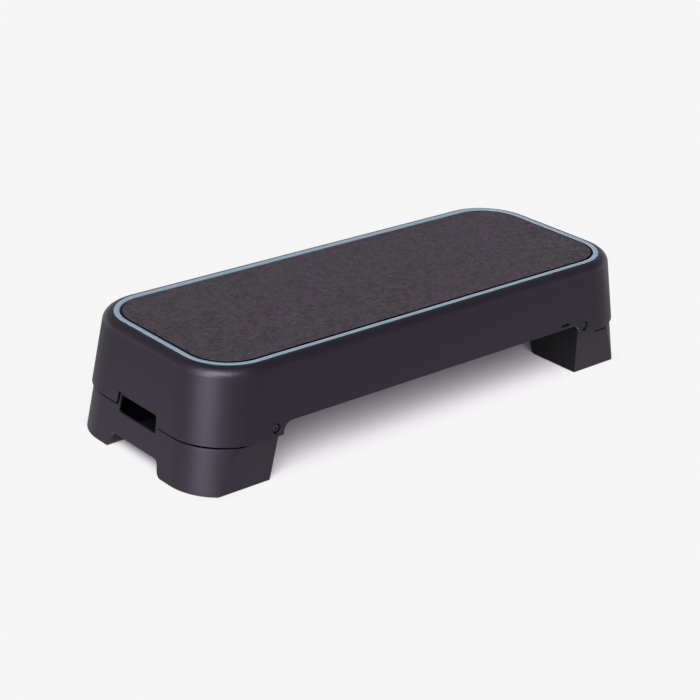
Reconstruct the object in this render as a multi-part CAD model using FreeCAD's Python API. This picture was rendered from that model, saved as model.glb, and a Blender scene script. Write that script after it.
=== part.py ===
# Aerobic step platform: a moulded deck on two end legs that fold under it for a lower height.
# Millimetres, +Z up. The origin is on the floor under the middle of the deck, X runs along the
# deck's length, and the front is the side at -Y.
import FreeCAD, Part
import math
import os

V = FreeCAD.Vector

# Overall form of the deck and of the legs that continue it. Heights are above the floor.
TOTAL_HEIGHT = 150.0
RIM_LENGTH = 704.0       # deck at the lower rim of its ends
RIM_WIDTH = 280.0
END_DRAFT = 0.132        # how far an end wall leans out for each millimetre down
SIDE_DRAFT = 0.091       # the same for a long wall
CORNER_R = 72.0
TOP_EDGE_R = 12.2
WALL = 2.5
PANEL = 3.0              # top panel under the mat

# Tray in the top, with the blue ring round the mat
TRAY_INSET = 11.0        # from the edge of the form at the top
TRAY_DEPTH = 2.4         # from the top of the ring
RING_PROUD = 0.8         # ring above the deck's own top
RING_BAND = 7.5
RING_FIT = 0.1
MAT_GROOVE = 2.0
MAT_THICKNESS = 2.3

# Pivots of the legs
PIVOT_SETBACK = 95.5     # from the rim of the deck's end
PIVOT_DROP = 10.0        # from the pivot down to the rim
FOLD_RIB_DEPTH = 3.1     # ribs above a folded leg
FOLD_GAP = 1.5           # room between them and the folded feet
FOLD_SIDE_GAP = 1.5      # room beside a folded leg
BOSS_R = 9.0
BOSS_DEPTH = 3.0
RECESS_R = 6.2
RECESS_DEPTH = 3.8
SCREW_R = 2.5
SCREW_HEAD_R = 4.6
SCREW_HEAD_HEIGHT = 1.8
SCREW_TIP = 1.5          # thread that stands out of the nut
CROSS_LENGTH = 5.2
CROSS_WIDTH = 1.3
CROSS_DEPTH = 1.2
HOLE_CLEARANCE = 0.2
THREAD_CLEARANCE = 0.05
BUSH_WALL = 1.45
PIVOT_CLEARANCE = 0.06   # radial running fit of an ear on its bush
EAR_THICKNESS = 6.4
EAR_R = 9.0
EAR_SIDE_GAP = 0.4
EAR_FOOT = 26.0          # length and depth of an ear where it meets the leg
WASHER_R = 6.5
WASHER_THICKNESS = 1.2
NUT_ACROSS_FLATS = 8.0
NUT_HEIGHT = 4.0

# Raised rim along the long walls, between the legs
SPAN_RISE = 14.5
SPAN_LUG = 10.5          # wall left inside the pivot line
SPAN_FILLET = 13.0

# Legs
LEG_STEP = 0.4           # gap between the deck's wall and what stands inside it
LEG_WALL = 3.0
LEG_FLOOR = 4.5
LEG_INNER_OFFSET = 0.5   # from the pivot line to the foot of the leg's inner face
LEG_INNER_DRAFT = 0.121  # how far the inner face leans towards the middle for each millimetre up
LEG_INNER_RISE = 5.0     # how far the inner wall stands above the rest of the leg
LEG_TOP_GAP = 3.4        # from the deck's rim down to the leg's end wall and corners
LEG_CHAMFER = 0.5
LEG_RIB = 2.5
ARCH_FLOOR_WIDTH = 96.0
ARCH_TOP_WIDTH = 88.0
ARCH_HEIGHT = 20.7
ARCH_TOP_R = 6.0
ARCH_FOOT_R = 9.0
ARCH_FLARE = 3.5         # how much farther out each side of the arch is at the inner wall

# Hand slot, in a tab of the leg that stands in a notch of the deck's end wall
SLOT_FLOOR_WIDTH = 73.0
SLOT_TOP_WIDTH = 68.0
SLOT_BELOW_RIM = 10.5
SLOT_ABOVE_RIM = 11.0
SLOT_R = 2.0
TAB_POST = 2.6
TAB_BAR = 3.2
TAB_GAP = 1.0

# Snap finger that finds a window of the long wall when the leg is folded
WINDOW_OFFSET = 36.5     # from the pivot line
WINDOW_LENGTH = 15.5
WINDOW_HEIGHT = 3.2
FINGER_RISE = 0.4        # middle of the finger above the leg's top
FINGER_GAP = 0.35
FINGER_THICKNESS = 2.0
FINGER_BUMP = 0.4        # how far its tip stands out of the leg's face

SLIT_LENGTH = 20.0       # slit in the leg's wall that frees the finger
SLIT_HEIGHT = 1.5
SLIT_DROP = 5.5          # from the rim down to the middle of the slit

# Rubber pads under the feet
PAD_PROUD = 0.4
PAD_THICKNESS = 3.0
PAD_MARGIN = 14.0        # from the inner face, the arch and the long face
PAD_END_MARGIN = 23.0
PAD_R = 10.0
PAD_FIT = 0.1

# Ribs under the deck
RIB = 2.5
RIB_SPACING = 65.0       # lengthwise ribs, from the middle one
CENTRE_RIB_COUNT = 5
CENTRE_RIB_DEPTH = 22.0
BULKHEAD_OFFSET = 12.0   # from the pivot line to the bulkhead behind it
BULKHEAD_RISE = 24.0     # from the rim up to the bulkhead's lower edge
STOP_RIB_SPACING = 40.0  # from a lengthwise rib to the next one that also stands on the leg

# Heights and places that follow from these
DECK_TOP = TOTAL_HEIGHT - RING_PROUD
PANEL_UNDER = TOTAL_HEIGHT - TRAY_DEPTH - PANEL
FOLD_ROOF = PANEL_UNDER - FOLD_RIB_DEPTH
FOLDED_TOP = FOLD_ROOF - FOLD_GAP
PIVOT_HEIGHT = FOLDED_TOP / 2
RIM_HEIGHT = PIVOT_HEIGHT - PIVOT_DROP
PIVOT_X = RIM_LENGTH / 2 - PIVOT_SETBACK
SPAN_RIM_HEIGHT = RIM_HEIGHT + SPAN_RISE
LEG_INSET = WALL + LEG_STEP
LEG_BASE = PAD_PROUD
SLOT_BOTTOM = RIM_HEIGHT - SLOT_BELOW_RIM
SLOT_TOP = RIM_HEIGHT + SLOT_ABOVE_RIM
TAB_TOP = SLOT_TOP + TAB_BAR
WINDOW_X = PIVOT_X - WINDOW_OFFSET
WINDOW_Z = FOLDED_TOP - RIM_HEIGHT - FINGER_RISE
FINGER_X = 2 * PIVOT_X - WINDOW_X
BUSH_R = SCREW_R + THREAD_CLEARANCE + BUSH_WALL
BEYOND = 5.0             # how far a cutting shape runs past what it cuts
FAR = RIM_LENGTH         # longer than any cut needs
TINY = 1e-4              # smaller than any real distance


def half_length(z):
    """Half of the deck's outer length at a height, also below its rim."""
    return RIM_LENGTH / 2 - END_DRAFT * (z - RIM_HEIGHT)


def half_width(z):
    return RIM_WIDTH / 2 - SIDE_DRAFT * (z - RIM_HEIGHT)


def leg_end(z):
    """Distance from the middle to a leg's end face."""
    return half_length(z) - LEG_INSET


def leg_side(z):
    """Half of a leg's width. Folded over, its long faces lie along the insides of the deck's walls."""
    return half_width(FOLDED_TOP - z) - WALL - FOLD_SIDE_GAP


def leg_inner(z):
    """Distance from the middle to a leg's inner face."""
    return PIVOT_X - LEG_INNER_OFFSET - LEG_INNER_DRAFT * z


def rounded_outline(corners, place):
    """Closed wire through (a, b, radius) corners. place(a, b) gives the point in space."""
    count = len(corners)
    starts, mids, ends = [], [], []
    for i, (a, b, radius) in enumerate(corners):
        pa, pb, _ = corners[i - 1]
        na, nb, _ = corners[(i + 1) % count]
        back = V(pa - a, pb - b, 0).normalize()
        ahead = V(na - a, nb - b, 0).normalize()
        corner = V(a, b, 0)
        if radius == 0:
            starts.append(corner)
            mids.append(None)
            ends.append(corner)
            continue
        half_angle = back.getAngle(ahead) / 2
        tangent = radius / math.tan(half_angle)
        inward = (back + ahead).normalize()
        starts.append(corner + back * tangent)
        mids.append(corner + inward * (radius / math.sin(half_angle) - radius))
        ends.append(corner + ahead * tangent)
    edges = []
    for i in range(count):
        start, mid, end = starts[i], mids[i], ends[i]
        if mid is not None:
            arc = Part.Arc(place(start.x, start.y), place(mid.x, mid.y), place(end.x, end.y))
            edges.append(arc.toShape())
        after = starts[(i + 1) % count]
        if (after - end).Length > TINY:
            edges.append(Part.LineSegment(place(end.x, end.y), place(after.x, after.y)).toShape())
    return Part.Wire(edges)


def rectangle(half_a, half_b, radius):
    return [(-half_a, -half_b, radius), (half_a, -half_b, radius),
            (half_a, half_b, radius), (-half_a, half_b, radius)]


def plate(corners, z0, z1):
    """Upright solid on an outline in the XY plane."""
    wire = rounded_outline(corners, lambda a, b: V(a, b, z0))
    return Part.Face(wire).extrude(V(0, 0, z1 - z0))


def along_x(corners, x0, x1):
    """Solid on an outline of (y, z) corners that runs along X."""
    wire = rounded_outline(corners, lambda a, b: V(x0, a, b))
    return Part.Face(wire).extrude(V(x1 - x0, 0, 0))


def along_y(corners, y0, y1):
    """Solid on an outline of (x, z) corners that runs along Y."""
    wire = rounded_outline(corners, lambda a, b: V(a, y0, b))
    return Part.Face(wire).extrude(V(0, y1 - y0, 0))


def box(x0, x1, y0, y1, z0, z1):
    return Part.makeBox(x1 - x0, y1 - y0, z1 - z0, V(x0, y0, z0))


def form_loop(z, inset):
    """Outline of the drafted form at a height, drawn in by an inset."""
    corners = rectangle(half_length(z) - inset, half_width(z) - inset, CORNER_R - inset)
    return rounded_outline(corners, lambda a, b: V(a, b, z))


def form_block(z0, z1, inset):
    return Part.makeLoft([form_loop(z0, inset), form_loop(z1, inset)], True, True)


def level_edges(shape, z):
    return [e for e in shape.Edges if max(abs(e.BoundBox.ZMin - z), abs(e.BoundBox.ZMax - z)) < TINY]


def round_rod(radius, x, y0, y1, z):
    return Part.makeCylinder(radius, y1 - y0, V(x, y0, z), V(0, 1, 0))


# Distances from the middle plane to the faces of a pivot's stack, outermost first
SKIRT_FACE = half_width(PIVOT_HEIGHT)
RECESS_FLOOR = SKIRT_FACE - RECESS_DEPTH
BOSS_FACE = SKIRT_FACE - WALL - BOSS_DEPTH
EAR_OUTER = BOSS_FACE - EAR_SIDE_GAP
EAR_INNER = EAR_OUTER - EAR_THICKNESS
WASHER_FACE = EAR_INNER - EAR_SIDE_GAP
NUT_FACE = WASHER_FACE - WASHER_THICKNESS
SCREW_END = NUT_FACE - NUT_HEIGHT - SCREW_TIP
EAR_HOLE_R = BUSH_R + PIVOT_CLEARANCE


def tray_corners(inset):
    """Outline of the tray inside the rounded top edge, drawn in by an inset."""
    step = TRAY_INSET + inset
    return rectangle(half_length(TOTAL_HEIGHT) - step, half_width(TOTAL_HEIGHT) - step, CORNER_R - step)


def deck_ribs():
    """Ribs that hang from the panel, before they are trimmed to the deck's inside."""
    centre_bottom = PANEL_UNDER - CENTRE_RIB_DEPTH
    toe_sweep = math.hypot(leg_end(LEG_BASE) - PIVOT_X, PIVOT_HEIGHT - LEG_BASE)
    centre_end = PIVOT_X - toe_sweep - FOLD_GAP
    pitch = (2 * centre_end - RIB) / (CENTRE_RIB_COUNT - 1)
    ribs = []
    for y in (-RIB_SPACING, 0, RIB_SPACING):
        ribs.append(box(-FAR, FAR, y - RIB / 2, y + RIB / 2, FOLD_ROOF, PANEL_UNDER))
        ribs.append(box(-centre_end, centre_end, y - RIB / 2, y + RIB / 2, centre_bottom, PANEL_UNDER))
    for i in range(CENTRE_RIB_COUNT):
        x = -centre_end + i * pitch
        ribs.append(box(x, x + RIB, -FAR, FAR, centre_bottom, PANEL_UNDER))
    bulkhead = PIVOT_X + BULKHEAD_OFFSET
    for side in (-1, 1):
        near, far = sorted((side * bulkhead, side * (bulkhead + RIB)))
        ribs.append(box(near, far, -FAR, FAR, RIM_HEIGHT + BULKHEAD_RISE, PANEL_UNDER))
        near, far = sorted((side * bulkhead, side * FAR))
        for y in (RIB_SPACING, RIB_SPACING + STOP_RIB_SPACING):
            for middle in (-y, y):
                ribs.append(box(near, far, middle - RIB / 2, middle + RIB / 2, RIM_HEIGHT, PANEL_UNDER))
    return ribs


def deck_shell():
    outer = form_block(RIM_HEIGHT, DECK_TOP, 0)
    outer = outer.makeFillet(TOP_EDGE_R, level_edges(outer, DECK_TOP))
    inner = form_block(RIM_HEIGHT - BEYOND, PANEL_UNDER, WALL)
    inner = inner.makeFillet(TOP_EDGE_R - WALL, level_edges(inner, PANEL_UNDER))
    ribs = [rib.common(inner) for rib in deck_ribs()]
    bosses = []
    for sx in (-1, 1):
        for sy in (-1, 1):
            y0, y1 = sorted((sy * BOSS_FACE, sy * (SKIRT_FACE + BEYOND)))
            boss = round_rod(BOSS_R, sx * PIVOT_X, y0, y1, PIVOT_HEIGHT)
            bosses.append(boss.common(outer))
    shell = outer.cut(inner).fuse(ribs + bosses)

    tray = plate(tray_corners(0), TOTAL_HEIGHT - TRAY_DEPTH, TOTAL_HEIGHT + BEYOND)
    span = PIVOT_X - SPAN_LUG
    low = RIM_HEIGHT - BEYOND
    span_gap = along_y([(-span, low, 0), (span, low, 0), (span, SPAN_RIM_HEIGHT, SPAN_FILLET),
                        (-span, SPAN_RIM_HEIGHT, SPAN_FILLET)], -FAR, FAR)
    cuts = [tray, span_gap]
    post = SLOT_FLOOR_WIDTH / 2 + TAB_POST + TAB_GAP
    post_top = SLOT_TOP_WIDTH / 2 + TAB_POST + TAB_GAP
    notch_top = TAB_TOP + TAB_GAP
    notch = [(-post, low, 0), (post, low, 0), (post_top, notch_top, SLOT_R), (-post_top, notch_top, SLOT_R)]
    wall_inside = half_length(TOTAL_HEIGHT) - WALL - BEYOND
    for side in (-1, 1):
        x0, x1 = sorted((side * wall_inside, side * FAR))
        cuts.append(along_x(notch, x0, x1))
        y0, y1 = sorted((-side * BOSS_FACE, -side * FAR))
        window = box(side * WINDOW_X - WINDOW_LENGTH / 2, side * WINDOW_X + WINDOW_LENGTH / 2, y0, y1,
                     WINDOW_Z - WINDOW_HEIGHT / 2, WINDOW_Z + WINDOW_HEIGHT / 2)
        cuts.append(window)
        for sy in (-1, 1):
            y0, y1 = sorted((sy * RECESS_FLOOR, sy * FAR))
            cuts.append(round_rod(RECESS_R, side * PIVOT_X, y0, y1, PIVOT_HEIGHT))
            y0, y1 = sorted((sy * (BOSS_FACE - BEYOND), sy * FAR))
            cuts.append(round_rod(SCREW_R + HOLE_CLEARANCE, side * PIVOT_X, y0, y1, PIVOT_HEIGHT))
    return shell.cut(cuts).removeSplitter()


def accent_ring():
    bottom = TOTAL_HEIGHT - TRAY_DEPTH
    band = plate(tray_corners(RING_FIT), bottom, TOTAL_HEIGHT)
    return band.cut(plate(tray_corners(RING_BAND), bottom, TOTAL_HEIGHT))


def grip_mat():
    bottom = TOTAL_HEIGHT - TRAY_DEPTH
    return plate(tray_corners(RING_BAND + MAT_GROOVE), bottom, bottom + MAT_THICKNESS)


def leg_block(z0, z1, inset, chamfer):
    """Solid form of the right leg between two heights, drawn in by an inset, with a chamfered foot."""
    step = LEG_INSET + inset
    knee = z0 + chamfer
    loops = [form_loop(z0, step + chamfer)] if chamfer else []
    loops += [form_loop(knee, step), form_loop(z1, step)]
    block = Part.makeLoft(loops, True, True)
    flank = [(-leg_side(z1) + inset, z1, 0), (-leg_side(knee) + inset, knee, 0)]
    inside = [(leg_inner(z1) + inset, z1, 0), (leg_inner(knee) + inset, knee, 0)]
    if chamfer:
        flank.append((-leg_side(z0) + inset + chamfer, z0, 0))
        inside.append((leg_inner(z0) + inset + chamfer, z0, 0))
    flank += [(-y, z, r) for y, z, r in reversed(flank)]
    inside += [(FAR, z0, 0), (FAR, z1, 0)]
    return block.common(along_x(flank, 0, FAR)).common(along_y(inside, -FAR, FAR))


def arch_corners(grow, flare):
    """Outline of the arch between the feet, grown by a wall and with its sides moved out by a flare."""
    foot = ARCH_FLOOR_WIDTH / 2 + grow + flare
    top = ARCH_TOP_WIDTH / 2 + grow + flare
    sill = foot + 3 * ARCH_FOOT_R
    low = LEG_BASE - BEYOND
    half = [(top, ARCH_HEIGHT + grow, ARCH_TOP_R + grow), (foot, LEG_BASE, ARCH_FOOT_R if grow == 0 else 0)]
    if grow == 0:
        half.append((sill, LEG_BASE, 0))
    half.append((half[-1][0], low, 0))
    return half + [(-y, z, r) for y, z, r in reversed(half)]


def arch_block(grow):
    """Solid that fills the arch from past the leg's inner wall to past its end, wider towards the inside."""
    inside, outside = leg_inner(LEG_BASE), leg_end(LEG_BASE)
    wires = []
    for x in (leg_inner(RIM_HEIGHT) - BEYOND, outside + BEYOND):
        flare = ARCH_FLARE * (outside - x) / (outside - inside)
        wires.append(rounded_outline(arch_corners(grow, flare), lambda a, b: V(x, a, b)))
    return Part.makeLoft(wires, True, True)


def pad_corners(side, fit):
    x0 = leg_inner(LEG_BASE) + PAD_MARGIN + fit
    x1 = leg_end(LEG_BASE) - PAD_END_MARGIN - fit
    inner = ARCH_FLOOR_WIDTH / 2 + PAD_MARGIN + fit
    outer = leg_side(LEG_BASE) - PAD_MARGIN - fit
    y0, y1 = sorted((side * inner, side * outer))
    r = PAD_R - fit
    return [(x0, y0, r), (x1, y0, r), (x1, y1, r), (x0, y1, r)]


def leg_ear(side):
    """Ear with the pivot hole, from inside the leg up to the pivot."""
    y0, y1 = sorted((side * EAR_INNER, side * EAR_OUTER))
    low = RIM_HEIGHT - EAR_FOOT
    start = leg_inner(RIM_HEIGHT)
    foot = along_y([(start, low, 0), (start + EAR_FOOT, low, 0), (start + EAR_FOOT, RIM_HEIGHT, 0),
                    (PIVOT_X + EAR_R, PIVOT_HEIGHT, 0), (PIVOT_X - EAR_R, PIVOT_HEIGHT, 0),
                    (start, RIM_HEIGHT, 0)], y0, y1)
    ear = foot.fuse(round_rod(EAR_R, PIVOT_X, y0, y1, PIVOT_HEIGHT))
    return ear.common(leg_block(LEG_BASE, PIVOT_HEIGHT + EAR_R, 0, 0))


def inner_rise():
    """Top of the inner wall, between the ears."""
    low, top = RIM_HEIGHT - LEG_WALL, RIM_HEIGHT + LEG_INNER_RISE
    return along_y([(leg_inner(low), low, 0), (leg_inner(low) + LEG_WALL, low, 0),
                    (leg_inner(top) + LEG_WALL, top, 0), (leg_inner(top), top, 0)], -EAR_INNER, EAR_INNER)


def leg_tab():
    """Tab with the hand slot, above the leg's end wall."""
    low = SLOT_BOTTOM
    hollow = form_block(low - BEYOND, TAB_TOP + BEYOND, LEG_INSET + LEG_WALL)
    shell = form_block(low, TAB_TOP, LEG_INSET).cut(hollow)
    foot = SLOT_FLOOR_WIDTH / 2 + TAB_POST
    top = SLOT_TOP_WIDTH / 2 + TAB_POST
    outline = [(-foot, low, 0), (foot, low, 0), (foot, RIM_HEIGHT, 0), (top, TAB_TOP, SLOT_R),
               (-top, TAB_TOP, SLOT_R), (-foot, RIM_HEIGHT, 0)]
    return shell.common(along_x(outline, PIVOT_X, FAR))


def snap_finger():
    """Short upstand of the front wall that lies at the deck's window when the leg is folded."""
    half = WINDOW_LENGTH / 2 - FINGER_GAP
    top = FOLDED_TOP - WINDOW_Z + WINDOW_HEIGHT / 2 - FINGER_GAP
    outer = leg_side(RIM_HEIGHT)
    reach = outer + FINGER_BUMP
    root = RIM_HEIGHT - LEG_WALL
    finger = along_x([(-outer, root, 0), (-outer + FINGER_THICKNESS, root, 0),
                      (-outer + FINGER_THICKNESS, top, 0), (-reach, top, 0), (-outer, RIM_HEIGHT, 0)],
                     FINGER_X - half, FINGER_X + half)
    return finger.common(form_block(root, top, LEG_INSET))


def right_leg():
    body = leg_block(LEG_BASE, RIM_HEIGHT, 0, LEG_CHAMFER)
    corner_start = half_length(RIM_HEIGHT) - CORNER_R
    gap = (RIM_HEIGHT - LEG_TOP_GAP, RIM_HEIGHT + BEYOND)
    body = body.cut([box(corner_start, FAR, 0, FAR, *gap), box(FINGER_X + SLIT_LENGTH / 2, FAR, -FAR, 0, *gap)])
    hollow = leg_block(LEG_BASE + LEG_FLOOR, RIM_HEIGHT + BEYOND, LEG_WALL, 0)
    pocket = hollow.cut(arch_block(LEG_WALL))
    arch_wall = ARCH_FLOOR_WIDTH / 2 + LEG_WALL
    middle_x = (leg_inner(LEG_BASE) + leg_end(LEG_BASE)) / 2
    middle_y = (arch_wall + leg_side(LEG_BASE)) / 2
    ribs = []
    for side in (-1, 1):
        y0, y1 = sorted((side * arch_wall, side * FAR))
        ribs.append(box(middle_x - LEG_RIB / 2, middle_x + LEG_RIB / 2, y0, y1, LEG_BASE, RIM_HEIGHT))
        for y in (arch_wall, middle_y):
            ribs.append(box(0, FAR, side * y - LEG_RIB / 2, side * y + LEG_RIB / 2, LEG_BASE, RIM_HEIGHT))
    ribs = [rib.common(pocket) for rib in ribs]
    upstands = [leg_ear(-1), leg_ear(1), inner_rise(), leg_tab(), snap_finger()]
    solid = body.cut(pocket).fuse(ribs + upstands)

    slot = [(-SLOT_FLOOR_WIDTH / 2, SLOT_BOTTOM, SLOT_R), (SLOT_FLOOR_WIDTH / 2, SLOT_BOTTOM, SLOT_R),
            (SLOT_TOP_WIDTH / 2, SLOT_TOP, SLOT_R), (-SLOT_TOP_WIDTH / 2, SLOT_TOP, SLOT_R)]
    slot_start = half_length(TOTAL_HEIGHT) - LEG_INSET - LEG_WALL - BEYOND
    slit = RIM_HEIGHT - SLIT_DROP
    cuts = [arch_block(0), along_x(slot, slot_start, FAR),
            box(FINGER_X - SLIT_LENGTH / 2, FINGER_X + SLIT_LENGTH / 2, -FAR, LEG_WALL + BEYOND - leg_side(slit),
                slit - SLIT_HEIGHT / 2, slit + SLIT_HEIGHT / 2)]
    for side in (-1, 1):
        cuts.append(plate(pad_corners(side, 0), LEG_BASE - BEYOND, PAD_THICKNESS))
        y0, y1 = sorted((side * (EAR_INNER - BEYOND), side * (EAR_OUTER + BEYOND)))
        cuts.append(round_rod(EAR_HOLE_R, PIVOT_X, y0, y1, PIVOT_HEIGHT))
        y0, y1 = sorted((side * EAR_OUTER, side * FAR))
        cuts.append(round_rod(BOSS_R + EAR_SIDE_GAP, PIVOT_X, y0, y1, PIVOT_HEIGHT))
    return solid.cut(cuts).removeSplitter()


def foot_pad(side):
    return plate(pad_corners(side, PAD_FIT), 0, PAD_THICKNESS)


def ring_rod(outer, inner, y0, y1):
    """Sleeve on the front right pivot, between two distances from the middle plane."""
    rod = round_rod(outer, PIVOT_X, -y1, -y0, PIVOT_HEIGHT)
    return rod.cut(round_rod(inner, PIVOT_X, -y1, -y0, PIVOT_HEIGHT))


def pivot_screw():
    head = round_rod(SCREW_HEAD_R, PIVOT_X, -RECESS_FLOOR - SCREW_HEAD_HEIGHT, -RECESS_FLOOR, PIVOT_HEIGHT)
    top = -RECESS_FLOOR - SCREW_HEAD_HEIGHT
    rim = [e for e in head.Edges if abs(e.BoundBox.YMax - top) < TINY]
    head = head.makeFillet(SCREW_HEAD_HEIGHT / 2, rim)
    screw = head.fuse(round_rod(SCREW_R, PIVOT_X, -RECESS_FLOOR, -SCREW_END, PIVOT_HEIGHT))
    for half_x, half_z in ((CROSS_LENGTH / 2, CROSS_WIDTH / 2), (CROSS_WIDTH / 2, CROSS_LENGTH / 2)):
        screw = screw.cut(box(PIVOT_X - half_x, PIVOT_X + half_x, top - BEYOND, top + CROSS_DEPTH,
                              PIVOT_HEIGHT - half_z, PIVOT_HEIGHT + half_z))
    return screw


def pivot_nut():
    corner = NUT_ACROSS_FLATS / math.sqrt(3)
    angles = [math.radians(60 * i) for i in range(6)]
    outline = [(PIVOT_X + corner * math.cos(a), PIVOT_HEIGHT + corner * math.sin(a), 0) for a in angles]
    hole = round_rod(SCREW_R + THREAD_CLEARANCE, PIVOT_X, -NUT_FACE, -NUT_FACE + NUT_HEIGHT, PIVOT_HEIGHT)
    return along_y(outline, -NUT_FACE, -NUT_FACE + NUT_HEIGHT).cut(hole)


def turned(shape):
    """The same piece at the other end, half a turn about the upright axis."""
    copy = shape.copy()
    copy.rotate(V(0, 0, 0), V(0, 0, 1), 180)
    return copy


def at_rear(shape):
    return shape.mirror(V(0, 0, 0), V(0, 1, 0))


def pieces():
    leg = right_leg()
    nodes = {
        "deck_shell": deck_shell(),
        "grip_mat": grip_mat(),
        "accent_ring": accent_ring(),
        "right_leg": leg,
        "left_leg": turned(leg),
    }
    hardware = {
        "pivot_screw": pivot_screw(),
        "pivot_bush": ring_rod(BUSH_R, SCREW_R + THREAD_CLEARANCE, WASHER_FACE, BOSS_FACE),
        "pivot_washer": ring_rod(WASHER_R, SCREW_R + HOLE_CLEARANCE, NUT_FACE, WASHER_FACE),
        "pivot_nut": pivot_nut(),
        "foot_pad": foot_pad(-1),
    }
    for name, shape in hardware.items():
        nodes["right_front_" + name] = shape
        nodes["right_rear_" + name] = at_rear(shape)
        nodes["left_rear_" + name] = turned(shape)
        nodes["left_front_" + name] = turned(at_rear(shape))
    return nodes


os.makedirs("parts", exist_ok=True)
for name, shape in pieces().items():
    shape.exportStep("parts/" + name + ".step")
    print(name, len(shape.Solids), "solid", "valid" if shape.isValid() else "INVALID", round(shape.Volume))
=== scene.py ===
# Looks of the aerobic step platform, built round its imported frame. Metres, +Z up, X along the deck.
import bmesh
import bpy
import math
from mathutils import Matrix, Vector, geometry, noise
from mathutils.bvhtree import BVHTree

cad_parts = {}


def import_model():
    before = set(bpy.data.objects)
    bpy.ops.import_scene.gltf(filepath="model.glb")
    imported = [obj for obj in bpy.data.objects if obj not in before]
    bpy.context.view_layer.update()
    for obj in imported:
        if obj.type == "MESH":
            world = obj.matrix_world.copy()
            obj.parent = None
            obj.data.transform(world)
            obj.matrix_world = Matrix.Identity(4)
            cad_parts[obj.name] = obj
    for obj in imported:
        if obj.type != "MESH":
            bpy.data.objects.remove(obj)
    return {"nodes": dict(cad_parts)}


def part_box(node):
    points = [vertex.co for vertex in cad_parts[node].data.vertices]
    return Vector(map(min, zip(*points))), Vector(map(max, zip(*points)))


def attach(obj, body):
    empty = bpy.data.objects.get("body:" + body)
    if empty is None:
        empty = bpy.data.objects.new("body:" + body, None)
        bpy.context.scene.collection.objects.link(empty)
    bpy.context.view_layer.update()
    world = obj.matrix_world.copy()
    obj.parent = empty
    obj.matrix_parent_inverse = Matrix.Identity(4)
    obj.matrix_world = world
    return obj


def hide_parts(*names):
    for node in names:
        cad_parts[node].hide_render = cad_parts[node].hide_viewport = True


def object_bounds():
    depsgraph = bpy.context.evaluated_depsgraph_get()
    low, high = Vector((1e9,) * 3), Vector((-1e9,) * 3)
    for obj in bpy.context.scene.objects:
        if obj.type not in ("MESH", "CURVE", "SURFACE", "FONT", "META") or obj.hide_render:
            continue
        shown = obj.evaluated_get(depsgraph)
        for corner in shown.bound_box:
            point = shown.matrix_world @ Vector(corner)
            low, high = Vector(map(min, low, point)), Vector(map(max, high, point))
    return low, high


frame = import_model()
CAD_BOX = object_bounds()

MM = 0.001
ENDS = ("right", "left")
SIDES = ("front", "rear")

# Camera, from the deck's straight edges in the photograph
CAMERA_PLACE = (-1.4484, -1.5814, 0.9916)
CAMERA_LENS = 95.05          # for a sensor 36 mm wide
CAMERA_YAW = 41.968          # degrees, as are the tilt and the lean
CAMERA_PITCH = 23.6935
CAMERA_ROLL = 2.73

# Tray in the deck's top, with the blue ring and the mat
TRAY_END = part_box("accent_ring")[1]
TRAY_CORNER_R = 60.9 * MM
CORNER_STEPS = 28
RING_BAND = 7.4 * MM
RING_OUTER_R = 0.85 * MM
RING_INNER_R = 0.40 * MM
RING_EDGE_STEPS = 4
RING_CROWN = 0.35 * MM
RING_CROWN_STEPS = 8
MAT_CORNER_R = 51.5 * MM
MAT_EDGE = 1.2 * MM          # width of the mat's sloping edge
MAT_EDGE_DROP = 0.5 * MM
MAT_SHADE_BAND = 0.85 * MAT_EDGE    # width of the near-black band along it: painted shade of the groove between the mat and the ring
MAT_CREASE_ANGLE = math.radians(40)
PEBBLE = 5.0 * MM            # across a pebble of the mat's grain
PEBBLE_STEPS = 3             # mesh steps across a pebble
PEBBLE_RELIEF = 0.25 * MM
ONLY_INSIDE = 1              # kind of triangulation: the triangles inside the outline
MERGE = 0.0001 * MM          # its points nearer than this become one

# Softened edges of the mouldings
WELD = 0.002 * MM
FLAT_ANGLE = math.radians(0.2)
SHARP_ANGLE = math.radians(28)
CREASE_ANGLE = math.radians(60)
DECK_EDGE_R = 0.5 * MM
LEG_EDGE_R = 0.4 * MM
EDGE_STEPS = 2

# Faces of the mouldings that take a duller finish and painted shade
INSIDE_REACH = (20 * MM, 300 * MM)   # a face that meets its own moulding so far ahead is an inside face
UNDER_TOP = 1 * MM           # the tray's floor is lower than the ring's top by more than this
LEVEL = 0.9999               # upright part of a level face's normal
PARTING_GAP = (57 * MM, 60.5 * MM)   # heights between a leg's wall and the deck's rim
TAB_REACH = 45 * MM          # the leg's tab in that gap is nearer the middle than this
INWARD = 0.7                 # inward part of the normal of a face that looks at the other leg

# Finishes
# the second material of a moulding is a darker, duller charcoal: painted shade where shade falls
OUTSIDE, IN_SHADE = 0, 1       # materials of a moulding
# the edge material is painted shade: on the ring's outer flank, and in the groove along the mat's edge
TOP, SHADED_EDGE = 0, 1             # materials of the ring and of the mat
WHITE = (1.0, 1.0, 1.0, 1.0)
LILAC = (0.86, 0.77, 1.0, 1.0)
WORN_EDGE = "worn_edge"      # face attribute, 1 on rounded outer edges
EDGE_WEAR = 0.6              # how much of the paler tone shows there at most
WORN_PALER = 2.0             # how many times paler that tone is
PLASTIC_GRAIN = 1500.0       # grains per metre
PLASTIC_CLOUDS = 14.0        # clouds of gloss per metre
FLOW_PER_CLOUD = 9.0         # streaks of tone across a cloud
PLASTIC_DEPTH = 0.03 * MM
MAT_DARK = (0.0120, 0.0086, 0.0120)
MAT_LIGHT = (0.0745, 0.0585, 0.0750)
MAT_CONTRAST = (0.28, 0.72)  # range of the mottle between the dark and the light tone
MAT_ROUGH = (0.62, 0.85)
MAT_SPECULAR = 0.35
MAT_DEPTH = 0.12 * MM
MAT_BLOTS = 230.0            # blots per metre
MAT_HATCH = 300.0            # lines of the hatch per metre, along and across
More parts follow.
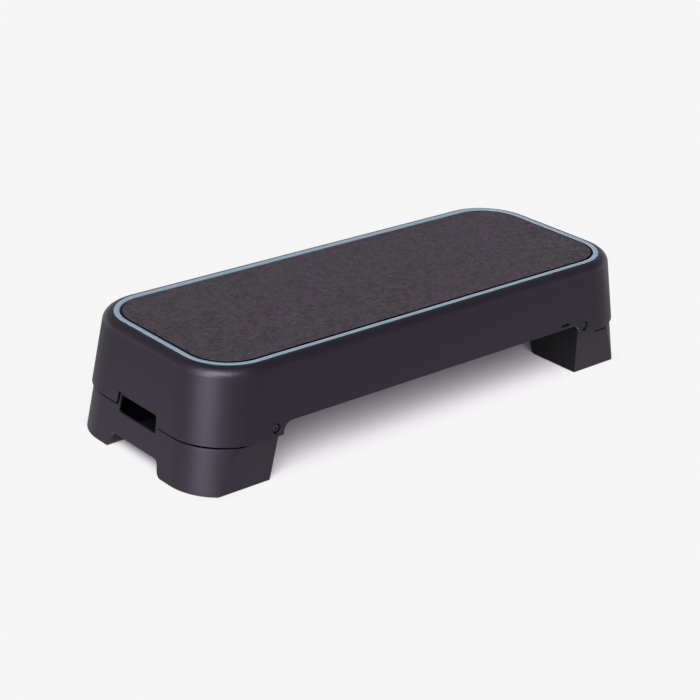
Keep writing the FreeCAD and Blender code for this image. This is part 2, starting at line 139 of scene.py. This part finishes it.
MAT_PATCHES = 50.0           # patches of the hatch per metre
HATCH_SHARE = 0.10           # of the hatch in the mottle
PATCH_EDGE = (0.42, 0.58)    # range over which one slant of the hatch gives way to the other
PAD_DARK = (0.012, 0.012, 0.013)
PAD_LIGHT = (0.020, 0.020, 0.021)
PAD_ROUGH = (0.70, 0.85)
PAD_SPECULAR = 0.4
PAD_RIB = 4.0 * MM           # from one rib of a foot pad to the next
PAD_DEPTH = 0.3 * MM
PAD_GRAIN = 900.0            # grains per metre
PAD_GRAIN_SHARE = 0.1        # of the grain in the ribs' relief
STEEL_GRAIN = 2600.0         # grains per metre
STEEL_CLOUDS = 120.0         # clouds of gloss per metre
STEEL_DARKER = 0.75          # tone of the tool marks, as a share of the steel's own
STEEL_DEPTH = 0.01 * MM

# Floor and room
FLOOR_SIZE = 30.0
FLOOR_TONE = (0.80, 0.775, 0.803, 1)
FLOOR_SEEN = 0.921           # plain tone of the background, and of the floor away from shadows
SHADOW_INSET = 30 * MM       # from here inside the deck's edge, shadows fade into the plain floor
SHADOW_FADE = 30 * MM        # over this
SHADOW_LEFT = 0.04           # what is left of them there
# Painted light on the floor as the pieces see it: paler behind the object, darker farther out beside it
BOUNCE_NEAR = 0.44           # how pale the floor is to the pieces above it, beside the object
BOUNCE_FAR = 0.27            # and farther out
BOUNCE_BEHIND = 0.75         # and behind the object
NEAR_REACH = (0.15, 0.35)    # from where the shadows fade, near turns into far
BEHIND_REACH = (0.30, 0.60)  # along the camera's way, where the bright floor behind starts
BACKDROP = 0.95              # light from low behind the object
BACKDROP_EDGE = (-0.15, 0.50)
ROOM = 0.46                  # light from low elsewhere
ROOM_TINT = (1.0, 0.92, 1.07)
CEILING = 0.10
CEILING_EDGE = (0.13, 0.46)

# Lights, by the direction that each comes from, in degrees
KEY_AZIMUTH = 212
KEY_HEIGHT = 46
KEY_SPREAD = 38
KEY_STRENGTH = 3.9
STRIP_AZIMUTH = 202
STRIP_HEIGHT = 5             # a low light, which the upright corner mirrors
STRIP_SPREAD = 30
STRIP_STRENGTH = 2.35
FLOOR_AZIMUTH = 232          # a light for the floor alone
FLOOR_HEIGHT = 40
FLOOR_SPREAD = 47
FLOOR_STRENGTH = 4.75
UNDERSIDE_SPREAD = 14        # a light from below, which the floor lets through
UNDERSIDE_STRENGTH = 2.5


def link(obj):
    bpy.context.scene.collection.objects.link(obj)
    return obj


def piece(name, mesh, body, materials, node):
    """A mesh as a piece of the object, riding on a body in place of a CAD node."""
    obj = link(bpy.data.objects.new(name, mesh))
    for material in materials:
        mesh.materials.append(material)
    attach(obj, body)
    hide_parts(node)
    even = obj.modifiers.new("even_shading", "WEIGHTED_NORMAL")
    even.keep_sharp = True


# Shader helpers

class Shader:
    """Adds nodes to a tree and joins them by their sockets."""

    def __init__(self, tree):
        self.tree = tree

    def feed(self, node, inputs):
        """Links each named input to a socket, or sets it to a value."""
        for key, value in inputs.items():
            if isinstance(value, bpy.types.NodeSocket):
                self.tree.links.new(value, node.inputs[key])
            else:
                node.inputs[key].default_value = value

    def add(self, kind, inputs=None, **settings):
        node = self.tree.nodes.new(kind)
        for key, value in settings.items():
            setattr(node, key, value)
        self.feed(node, inputs or {})
        return node

    def group(self, tree, inputs):
        return self.add("ShaderNodeGroup", inputs, node_tree=tree).outputs

    def math(self, operation, a, b=0.0, c=0.0):
        node = self.add("ShaderNodeMath", {0: a, 1: b, 2: c}, operation=operation)
        return node.outputs[0]

    def blend(self, a, b, share):
        """A share of a, and the rest of b."""
        return self.math("MULTIPLY_ADD", a, share, self.math("MULTIPLY", b, 1 - share))

    def noise(self, place, scale, detail=2.0, roughness=0.5):
        inputs = {"Vector": place, "Scale": scale, "Detail": detail, "Roughness": roughness}
        return self.add("ShaderNodeTexNoise", inputs).outputs["Fac"]

    def spread(self, value, low, high, start=0.0, end=1.0, interpolation="LINEAR"):
        """Goes from low to high as the value goes from start to end."""
        inputs = {"Value": value, "From Min": start, "From Max": end, "To Min": low, "To Max": high}
        return self.add("ShaderNodeMapRange", inputs, interpolation_type=interpolation).outputs["Result"]

    def ease(self, value, start, end, low=0.0, high=1.0):
        """Goes smoothly from low to high as the value goes from start to end."""
        return self.spread(value, low, high, start, end, "SMOOTHSTEP")

    def dot(self, vector, other):
        node = self.add("ShaderNodeVectorMath", {0: vector, 1: other}, operation="DOT_PRODUCT")
        return node.outputs["Value"]

    def mix(self, factor, a, b):
        """A colour from a to b, at the colour sockets of a mix node."""
        return self.add("ShaderNodeMix", {0: factor, 6: a, 7: b}, data_type="RGBA").outputs[2]

    def bump(self, height, depth):
        inputs = {"Height": height, "Distance": depth, "Strength": 1.0}
        return self.add("ShaderNodeBump", inputs).outputs["Normal"]

    def axes(self, vector):
        return self.add("ShaderNodeSeparateXYZ", {"Vector": vector}).outputs


def shader_group(name, inputs, outputs):
    """An empty node group: its helper, what it is given and the node that its outputs go to."""
    tree = bpy.data.node_groups.new(name, "ShaderNodeTree")
    tree.interface.new_socket("Place", in_out="INPUT", socket_type="NodeSocketVector")
    for key, default in inputs.items():
        socket = tree.interface.new_socket(key, in_out="INPUT", socket_type="NodeSocketFloat")
        socket.default_value = default
    for key in outputs:
        tree.interface.new_socket(key, in_out="OUTPUT", socket_type="NodeSocketFloat")
    shader = Shader(tree)
    return shader, shader.add("NodeGroupInput").outputs, shader.add("NodeGroupOutput")


def moulded_grain_group():
    """Fine pebbled texture of a moulded surface, with slow clouds of gloss and tone."""
    inputs = {"Grain per metre": PLASTIC_GRAIN, "Clouds per metre": PLASTIC_CLOUDS}
    shader, given, end = shader_group("moulded_grain", inputs, ("Height", "Gloss", "Tone"))
    place = given["Place"]
    grain = given["Grain per metre"]
    fine = shader.noise(place, grain, detail=3.0, roughness=0.6)
    pebble = shader.add("ShaderNodeTexVoronoi", {"Vector": place, "Scale": grain}, feature="SMOOTH_F1")
    clouds = shader.noise(place, given["Clouds per metre"], detail=4.0, roughness=0.55)
    flow = shader.noise(place, shader.math("MULTIPLY", given["Clouds per metre"], FLOW_PER_CLOUD))
    shader.feed(end, {"Height": shader.blend(pebble.outputs["Distance"], fine, share=0.6),
                      "Gloss": clouds,
                      "Tone": shader.blend(flow, clouds, share=0.5)})
    return shader.tree


def mottled_mat_group():
    """Soft blots, with patches of a fine hatch that slants one way or the other."""
    inputs = {"Blots per metre": MAT_BLOTS, "Hatch per metre": MAT_HATCH, "Patches per metre": MAT_PATCHES}
    shader, given, end = shader_group("mottled_mat", inputs, ("Height", "Mottle"))
    place = given["Place"]
    along = shader.axes(place)
    turns = shader.math("MULTIPLY", given["Hatch per metre"], math.tau)
    slants = [shader.math(operation, along["X"], along["Y"]) for operation in ("ADD", "SUBTRACT")]
    one, other = (shader.math("COSINE", shader.math("MULTIPLY", slant, turns)) for slant in slants)
    patches = shader.ease(shader.noise(place, given["Patches per metre"]), *PATCH_EDGE)
    hatch = shader.math("MULTIPLY_ADD", patches, shader.math("SUBTRACT", one, other), other)
    blots = shader.noise(place, given["Blots per metre"], detail=3.0, roughness=0.6)
    mottle = shader.math("MULTIPLY_ADD", hatch, HATCH_SHARE, blots)
    shader.feed(end, {"Height": mottle, "Mottle": mottle})
    return shader.tree


MOULDED_GRAIN = moulded_grain_group()
MOTTLED_MAT = mottled_mat_group()


# Materials

def bare_material(name):
    """A material without nodes, the helper that fills it and the place on the piece that wears it."""
    material = bpy.data.materials.new(name)
    material.use_nodes = True
    material.node_tree.nodes.clear()
    shader = Shader(material.node_tree)
    return material, shader, shader.add("ShaderNodeTexCoord").outputs["Object"]


def new_material(name):
    """A bare material with the main shader of its surface."""
    material, shader, place = bare_material(name)
    surface = shader.add("ShaderNodeBsdfPrincipled")
    shader.add("ShaderNodeOutputMaterial", {"Surface": surface.outputs["BSDF"]})
    return material, shader, place, surface


def moulded_plastic(name, dark, light, rough, specular, tint=WHITE, grain=PLASTIC_GRAIN, depth=PLASTIC_DEPTH):
    """Moulded plastic with a fine pebbled grain, rubbed paler along its worn edges."""
    material, shader, place, surface = new_material(name)
    texture = shader.group(MOULDED_GRAIN, {"Place": place, "Grain per metre": grain})
    colour = shader.mix(texture["Tone"], (*dark, 1), (*light, 1))
    worn = shader.add("ShaderNodeAttribute", attribute_name=WORN_EDGE).outputs["Fac"]
    rub = shader.math("MULTIPLY", worn, shader.spread(texture["Gloss"], 0.0, EDGE_WEAR))
    paler = tuple(min(1.0, WORN_PALER * value) for value in light)
    shader.feed(surface, {"Base Color": shader.mix(rub, colour, (*paler, 1)),
                          "Roughness": shader.spread(texture["Gloss"], *rough),
                          "Specular IOR Level": specular,
                          "Specular Tint": tint,
                          "Normal": shader.bump(texture["Height"], depth)})
    return material


def mat_rubber():
    """Matt rubber of the mat, mottled under a fine hatch."""
    material, shader, place, surface = new_material("pebbled_mat_rubber")
    texture = shader.group(MOTTLED_MAT, {"Place": place})
    contrast = shader.spread(texture["Mottle"], 0.0, 1.0, *MAT_CONTRAST)
    shader.feed(surface, {"Base Color": shader.mix(contrast, (*MAT_DARK, 1), (*MAT_LIGHT, 1)),
                          "Roughness": shader.spread(texture["Mottle"], *MAT_ROUGH),
                          "Specular IOR Level": MAT_SPECULAR,
                          "Normal": shader.bump(texture["Height"], MAT_DEPTH)})
    return material


def ribbed_rubber():
    """Black rubber of the foot pads, ribbed across the platform."""
    material, shader, place, surface = new_material("ribbed_pad_rubber")
    texture = shader.group(MOULDED_GRAIN, {"Place": place, "Grain per metre": PAD_GRAIN})
    ribs = shader.math("SINE", shader.math("MULTIPLY", shader.axes(place)["X"], math.tau / PAD_RIB))
    relief = shader.math("MULTIPLY_ADD", texture["Height"], PAD_GRAIN_SHARE, ribs)
    shader.feed(surface, {"Base Color": shader.mix(texture["Tone"], (*PAD_DARK, 1), (*PAD_LIGHT, 1)),
                          "Roughness": shader.spread(texture["Gloss"], *PAD_ROUGH),
                          "Specular IOR Level": PAD_SPECULAR,
                          "Normal": shader.bump(relief, PAD_DEPTH)})
    return material


def plated_steel(name, colour, rough):
    """Turned and plated steel with faint tool marks."""
    material, shader, place, surface = new_material(name)
    texture = shader.group(MOULDED_GRAIN, {"Place": place, "Grain per metre": STEEL_GRAIN,
                                           "Clouds per metre": STEEL_CLOUDS})
    marks = tuple(STEEL_DARKER * value for value in colour)
    shader.feed(surface, {"Base Color": shader.mix(texture["Tone"], (*marks, 1), (*colour, 1)),
                          "Roughness": shader.spread(texture["Gloss"], *rough),
                          "Metallic": 1.0,
                          "Normal": shader.bump(texture["Height"], STEEL_DEPTH)})
    return material


CHARCOAL = moulded_plastic("charcoal_plastic", dark=(0.0085, 0.0072, 0.0100), light=(0.0108, 0.0092, 0.0128),
                           rough=(0.38, 0.46), specular=0.62, tint=LILAC)
# painted shade: a darker copy of the charcoal, also rougher and less glossy, for faces where shade falls
DULL_SHADED_CHARCOAL = moulded_plastic("dull_shaded_charcoal_plastic", dark=(0.0028, 0.0024, 0.0034),
                                light=(0.0036, 0.0031, 0.0043), rough=(0.62, 0.72), specular=0.15)
BLUE = moulded_plastic("blue_plastic", dark=(0.22, 0.31, 0.37), light=(0.25, 0.345, 0.41),
                       rough=(0.30, 0.40), specular=0.5, grain=1200.0)
# painted shade: a darker copy of the blue for the ring's outer flank
SHADED_FLANK_BLUE = moulded_plastic("shaded_flank_blue_plastic", dark=(0.016, 0.026, 0.040), light=(0.022, 0.034, 0.050),
                             rough=(0.45, 0.55), specular=0.4, grain=1200.0)
MAT_RUBBER = mat_rubber()
# painted shade: near-black rubber for the groove along the mat's edge
GROOVE_SHADE_RUBBER = moulded_plastic("groove_shade_mat_rubber", dark=(0.0008, 0.0010, 0.0014), light=(0.0012, 0.0015, 0.0020),
                             rough=(0.8, 0.9), specular=0.05)
PAD_RUBBER = ribbed_rubber()
ACETAL = moulded_plastic("acetal_bush", dark=(0.48, 0.48, 0.46), light=(0.56, 0.56, 0.54),
                         rough=(0.3, 0.4), specular=0.5, grain=1800.0, depth=0.01 * MM)
BLACK_STEEL = plated_steel("blackened_steel", colour=(0.130, 0.125, 0.136), rough=(0.32, 0.45))
ZINC = plated_steel("zinc_plated_steel", colour=(0.60, 0.60, 0.61), rough=(0.25, 0.42))


# Mouldings taken over from the frame, with their sharp edges rounded

def finish_shading(mesh, limit):
    """Smooth shading, broken at edges sharper than the limit."""
    mesh.shade_smooth()
    mesh.set_sharp_from_angle(angle=limit)


def stands_out(face):
    """Whether the faces round this one fall away from it, as on an outer edge."""
    centre = face.calc_center_median()
    rise = 0.0
    for edge in face.edges:
        for other in edge.link_faces:
            rise += (other.calc_center_median() - centre).dot(face.normal)
    return rise < 0


def tray_floor(normal, middle):
    """Whether a face of the deck is the floor under the mat, or the underside of it; painted shade goes
    there.
    """
    in_tray = abs(middle.x) < TRAY_END.x and abs(middle.y) < TRAY_END.y
    return in_tray and abs(normal.z) > LEVEL and TRAY_END.z / 2 < middle.z < TRAY_END.z - UNDER_TOP


def leg_shadow(normal, middle):
    """Whether a leg's face looks at the other leg or is a rib's end in the parting gap, for painted shade."""
    low, high = PARTING_GAP
    in_gap = low < middle.z < high and abs(middle.y) > TAB_REACH
    return in_gap or normal.x * math.copysign(1, middle.x) < -INWARD


def shaded_faces(shape, shade_rule):
    """Faces of a hollow moulding that look at the moulding itself, or that the shade rule picks, for painted
    shade.
    """
    tree = BVHTree.FromBMesh(shape)
    largest = {}
    for loops in shape.calc_loop_triangles():
        a, b, c = (loop.vert.co for loop in loops)
        area = geometry.area_tri(a, b, c)
        face = loops[0].face
        if area >= largest.get(face, (0, None))[0]:
            largest[face] = (area, (a + b + c) / 3)
    near, far = INSIDE_REACH
    faces = []
    for face, (_, middle) in largest.items():
        sees_itself = tree.ray_cast(middle + face.normal * near, face.normal, far - near)[0]
        if sees_itself or shade_rule(face.normal, middle):
            faces.append(face)
    return faces


def softened(node, radius, shade_rule):
    """A CAD node's mesh, welded, with whole flat faces and a small radius on each sharp edge."""
    shape = bmesh.new()
    shape.from_mesh(frame["nodes"][node].data)
    worn = shape.faces.layers.float.new(WORN_EDGE)
    bmesh.ops.remove_doubles(shape, verts=shape.verts, dist=WELD)
    bmesh.ops.dissolve_limit(shape, angle_limit=FLAT_ANGLE, verts=shape.verts, edges=shape.edges)
    sharp = [edge for edge in shape.edges if edge.is_manifold and edge.calc_face_angle() > SHARP_ANGLE]
    rounded = bmesh.ops.bevel(shape, geom=sharp, offset=radius, offset_type="OFFSET", segments=EDGE_STEPS,
                              profile=0.5, affect="EDGES", clamp_overlap=False)["faces"]
    shape.normal_update()
    for face in rounded:
        face[worn] = float(stands_out(face))
    for face in shape.faces:
        face.material_index = OUTSIDE
    # painted shade: faces inside the moulding, and those the shade rule picks, take the darker charcoal
    for face in shaded_faces(shape, shade_rule):
        face.material_index = IN_SHADE
    mesh = bpy.data.meshes.new(node + "_softened")
    shape.to_mesh(mesh)
    shape.free()
    finish_shading(mesh, CREASE_ANGLE)
    return mesh


# Ring and mat in the tray

def rounded_rectangle(half_x, half_y, radius):
    """Points anticlockwise round a rectangle with round corners."""
    points = []
    for quarter, (sx, sy) in enumerate(((1, 1), (-1, 1), (-1, -1), (1, -1))):
        for step in range(CORNER_STEPS + 1):
            angle = math.radians(90) * (quarter + step / CORNER_STEPS)
            points.append((sx * (half_x - radius) + radius * math.cos(angle),
                           sy * (half_y - radius) + radius * math.sin(angle)))
    return points


def filled(points, spacing):
    """The same closed outline with more points along its straight runs."""
    dense = []
    for start, end in zip(points, points[1:] + points[:1]):
        start, end = Vector(start), Vector(end)
        parts = max(1, round((end - start).length / spacing))
        dense += [tuple(start.lerp(end, part / parts)) for part in range(parts)]
    return dense


def flank(radius, low, top):
    """Section of an upright side and the round edge above it, as pairs of inset and height."""
    points = [(0.0, low)]
    for step in range(RING_EDGE_STEPS + 1):
        angle = math.radians(90) * step / RING_EDGE_STEPS
        points.append((radius * (1 - math.cos(angle)), top - radius * (1 - math.sin(angle))))
    return points


def accent_ring():
    """The blue ring: a band with a low crown and round edges, swept round the tray."""
    low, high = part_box("accent_ring")
    outer = flank(RING_OUTER_R, low.z, high.z - RING_CROWN)
    inner = flank(RING_INNER_R, low.z, high.z - RING_CROWN)
    section = list(outer)
    for step in range(1, RING_CROWN_STEPS):
        share = step / RING_CROWN_STEPS
        inset = RING_OUTER_R + (RING_BAND - RING_OUTER_R - RING_INNER_R) * share
        section.append((inset, high.z - RING_CROWN * (2 * share - 1) ** 2))
    section += [(RING_BAND - inset, z) for inset, z in reversed(inner)]
    points = []
    for inset, z in section:
        loop = rounded_rectangle(high.x - inset, high.y - inset, TRAY_CORNER_R - inset)
        points += [(x, y, z) for x, y in loop]
    count = len(loop)
    faces = []
    for row in range(len(section)):
        after = (row + 1) % len(section)
        for i in range(count):
            j = (i + 1) % count
            faces.append((row * count + i, row * count + j, after * count + j, after * count + i))
    mesh = bpy.data.meshes.new("accent_ring_band")
    mesh.from_pydata(points, [], faces)
    # painted shade: the outer flank and its round edge take the dark blue
    for face in mesh.polygons[:(len(outer) - 1) * count]:
        face.material_index = SHADED_EDGE
    finish_shading(mesh, SHARP_ANGLE)
    return mesh


def relief_plate(name, outline, edge, inner, height, base):
    """A plate with an upright side, a flat base and a top whose height is a function of x and y."""
    count = len(outline)
    rim = [(i, (i + 1) % count) for i in range(count)]
    edge_rim = [(count + i, count + (i + 1) % len(edge)) for i in range(len(edge))]
    flat = [Vector(point) for point in outline + edge + inner]
    points, _, triangles, *_ = geometry.delaunay_2d_cdt(flat, rim + edge_rim, [], ONLY_INSIDE, MERGE)
    top = [(point.x, point.y, height(point.x, point.y)) for point in points]
    bottom = [(x, y, base) for x, y in outline]
    start = len(top)
    faces = [tuple(face) for face in triangles]
    faces += [(i, start + i, start + j, j) for i, j in rim]
    faces.append(tuple(start + i for i in reversed(range(count))))
    mesh = bpy.data.meshes.new(name)
    mesh.from_pydata(top + bottom, [], faces)
    mesh.validate()
    finish_shading(mesh, MAT_CREASE_ANGLE)
    return mesh


def grip_mat():
    """The mat: a grain of low pebbles with a thinned edge."""
    low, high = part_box("grip_mat")
    step = PEBBLE / PEBBLE_STEPS
    clear = step / 3             # from the sloping edge to the pebbles

    def outline(inset):
        return filled(rounded_rectangle(high.x - inset, high.y - inset, MAT_CORNER_R - inset), step)

    def inside(x, y, margin):
        dx = max(abs(x) - (high.x - MAT_CORNER_R), 0)
        dy = max(abs(y) - (high.y - MAT_CORNER_R), 0)
        if dx and dy:
            return math.hypot(dx, dy) < MAT_CORNER_R - margin
        return dx < MAT_CORNER_R - margin and dy < MAT_CORNER_R - margin

    def height(x, y):
        if not inside(x, y, MAT_EDGE / 2):
            return high.z - MAT_EDGE_DROP
        if not inside(x, y, MAT_EDGE + clear / 2):
            return high.z - PEBBLE_RELIEF / 2
        nearest = noise.voronoi(Vector((x, y, 0)) / PEBBLE)[0][0]
        return high.z - PEBBLE_RELIEF * min(nearest, 1.0)

    columns = int(high.x / step) + 1
    rows = int(high.y / step) + 1
    grid = [(i * step, j * step) for i in range(-columns, columns + 1) for j in range(-rows, rows + 1)]
    inner = [(x, y) for x, y in grid if inside(x, y, MAT_EDGE + clear)]
    mesh = relief_plate("grip_mat_grain", outline(0.0), outline(MAT_EDGE), inner, height, low.z)
    # painted shade of the groove: the mat's sloping edge takes the near-black rubber
    for face in mesh.polygons:
        face.material_index = TOP if inside(face.center.x, face.center.y, MAT_SHADE_BAND) else SHADED_EDGE
    return mesh


# Pieces and their finishes

# each moulding wears the charcoal, and the darker charcoal as painted shade
piece("deck_body", softened("deck_shell", DECK_EDGE_R, tray_floor), "deck",
      (CHARCOAL, DULL_SHADED_CHARCOAL), "deck_shell")
for end in ENDS:
    leg = end + "_leg"
    piece(leg + "_body", softened(leg, LEG_EDGE_R, leg_shadow), leg,
          (CHARCOAL, DULL_SHADED_CHARCOAL), leg)
piece("accent_ring_band", accent_ring(), "deck", (BLUE, SHADED_FLANK_BLUE), "accent_ring")
piece("grip_mat_grain", grip_mat(), "deck", (MAT_RUBBER, GROOVE_SHADE_RUBBER), "grip_mat")

FINISHES = {"pivot_screw": BLACK_STEEL, "pivot_bush": ACETAL, "pivot_washer": ZINC, "pivot_nut": ZINC,
            "foot_pad": PAD_RUBBER}
for end in ENDS:
    for side in SIDES:
        for name, finish in FINISHES.items():
            materials = frame["nodes"][f"{end}_{side}_{name}"].data.materials
            materials.clear()
            materials.append(finish)


# Floor, light and camera

def grey(tone):
    return (tone, tone, tone, 1)


def room(tone):
    return (*(tone * part for part in ROOM_TINT), 1)


def away():
    """Level direction from the camera towards the object."""
    yaw = math.radians(CAMERA_YAW)
    return Vector((math.sin(yaw), math.cos(yaw), 0))


def pale_floor():
    """Plain to the camera but for the deck's shadow, toned for what it lights, and clear from below."""
    material, shader, place = bare_material("pale_floor")
    along = shader.axes(place)
    squares = []
    for axis, end in (("X", CAD_BOX[1].x), ("Y", CAD_BOX[1].y)):
        past = shader.math("SUBTRACT", shader.math("ABSOLUTE", along[axis]), end - SHADOW_INSET)
        reach = shader.math("MAXIMUM", past, 0.0)
        squares.append(shader.math("MULTIPLY", reach, reach))
    distance = shader.math("SQRT", shader.math("ADD", *squares))
    # painted light: to the pieces the floor is paler behind the object, darker farther out beside it
    beside = shader.ease(distance, *NEAR_REACH, BOUNCE_NEAR, BOUNCE_FAR)
    behind = shader.ease(shader.dot(place, away()), *BEHIND_REACH)
    bounce = shader.mix(behind, beside, grey(BOUNCE_BEHIND))
    seen = shader.add("ShaderNodeLightPath").outputs["Is Camera Ray"]
    paper = shader.add("ShaderNodeBsdfDiffuse", {"Color": shader.mix(seen, bounce, FLOOR_TONE)})
    plain = shader.add("ShaderNodeEmission", {"Color": grey(FLOOR_SEEN)})
    faded = shader.math("MULTIPLY", seen, shader.ease(distance, 0.0, SHADOW_FADE, 0.0, 1 - SHADOW_LEFT))
    upper = shader.add("ShaderNodeMixShader", {0: faded, 1: paper.outputs[0], 2: plain.outputs[0]})
    clear = shader.add("ShaderNodeBsdfTransparent")
    below = shader.add("ShaderNodeNewGeometry").outputs["Backfacing"]
    both = shader.add("ShaderNodeMixShader", {0: below, 1: upper.outputs[0], 2: clear.outputs[0]})
    shader.add("ShaderNodeOutputMaterial", {"Surface": both.outputs[0]})
    return material


def floor():
    half = FLOOR_SIZE / 2
    corners = [(-half, -half, 0), (half, -half, 0), (half, half, 0), (-half, half, 0)]
    mesh = bpy.data.meshes.new("floor")
    mesh.from_pydata(corners, [], [(0, 1, 2, 3)])
    mesh.materials.append(pale_floor())
    obj = link(bpy.data.objects.new("floor", mesh))
    return obj


def world():
    """A bright backdrop low behind the object, a dimmer room, a dark ceiling, and a plain background."""
    studio = bpy.data.worlds.new("studio")
    bpy.context.scene.world = studio
    studio.use_nodes = True
    studio.node_tree.nodes.clear()
    shader = Shader(studio.node_tree)
    direction = shader.add("ShaderNodeTexCoord").outputs["Generated"]
    behind = shader.ease(shader.dot(direction, away()), *BACKDROP_EDGE)
    low = shader.mix(behind, room(ROOM), room(BACKDROP))
    light = shader.mix(shader.ease(shader.axes(direction)["Z"], *CEILING_EDGE), low, room(CEILING))
    seen = shader.add("ShaderNodeLightPath").outputs["Is Camera Ray"]
    sky = shader.add("ShaderNodeBackground", {"Color": shader.mix(seen, light, grey(FLOOR_SEEN))})
    shader.add("ShaderNodeOutputWorld", {"Surface": sky.outputs[0]})


def direction_of(azimuth, height):
    azimuth, height = math.radians(azimuth), math.radians(height)
    level = math.cos(height)
    return Vector((level * math.cos(azimuth), level * math.sin(azimuth), math.sin(height)))


def sun(name, direction, strength, spread, lit, shading=None):
    """A soft light from a direction, on one collection, shaded by everything or by another collection."""
    data = bpy.data.lights.new(name, "SUN")
    data.energy = strength
    data.angle = math.radians(spread)
    obj = link(bpy.data.objects.new(name, data))
    obj.rotation_mode = "QUATERNION"
    obj.rotation_quaternion = direction.to_track_quat("Z", "Y")
    obj.light_linking.receiver_collection = lit
    obj.light_linking.blocker_collection = shading


def collection_of(name, objects):
    group = bpy.data.collections.new(name)
    for obj in objects:
        group.objects.link(obj)
    return group


def camera():
    """The camera, turned level by yaw, then tilted down by pitch and leant by roll."""
    pitch, roll = math.radians(CAMERA_PITCH), math.radians(CAMERA_ROLL)
    ahead = away()
    level = Vector((ahead.y, -ahead.x, 0))
    forward = ahead * math.cos(pitch) - Vector((0, 0, math.sin(pitch)))
    upright = ahead * math.sin(pitch) + Vector((0, 0, math.cos(pitch)))
    right = level * math.cos(roll) + upright * math.sin(roll)
    up = upright * math.cos(roll) - level * math.sin(roll)
    data = bpy.data.cameras.new("camera")
    data.lens = CAMERA_LENS
    obj = link(bpy.data.objects.new("camera", data))
    turn = Matrix((right, up, -forward)).transposed()
    obj.matrix_world = Matrix.Translation(CAMERA_PLACE) @ turn.to_4x4()
    bpy.context.scene.camera = obj


platform = collection_of("platform", [obj for obj in bpy.data.objects if obj.type == "MESH"])
ground = collection_of("ground", [floor()])
world()
sun("key", direction_of(KEY_AZIMUTH, KEY_HEIGHT), KEY_STRENGTH, KEY_SPREAD, platform)
sun("strip", direction_of(STRIP_AZIMUTH, STRIP_HEIGHT), STRIP_STRENGTH, STRIP_SPREAD, platform)
sun("floor_light", direction_of(FLOOR_AZIMUTH, FLOOR_HEIGHT), FLOOR_STRENGTH, FLOOR_SPREAD, ground)
sun("underside_light", Vector((0, 0, -1)), UNDERSIDE_STRENGTH, UNDERSIDE_SPREAD, platform, platform)
camera()
bpy.context.scene.view_settings.view_transform = "Standard"
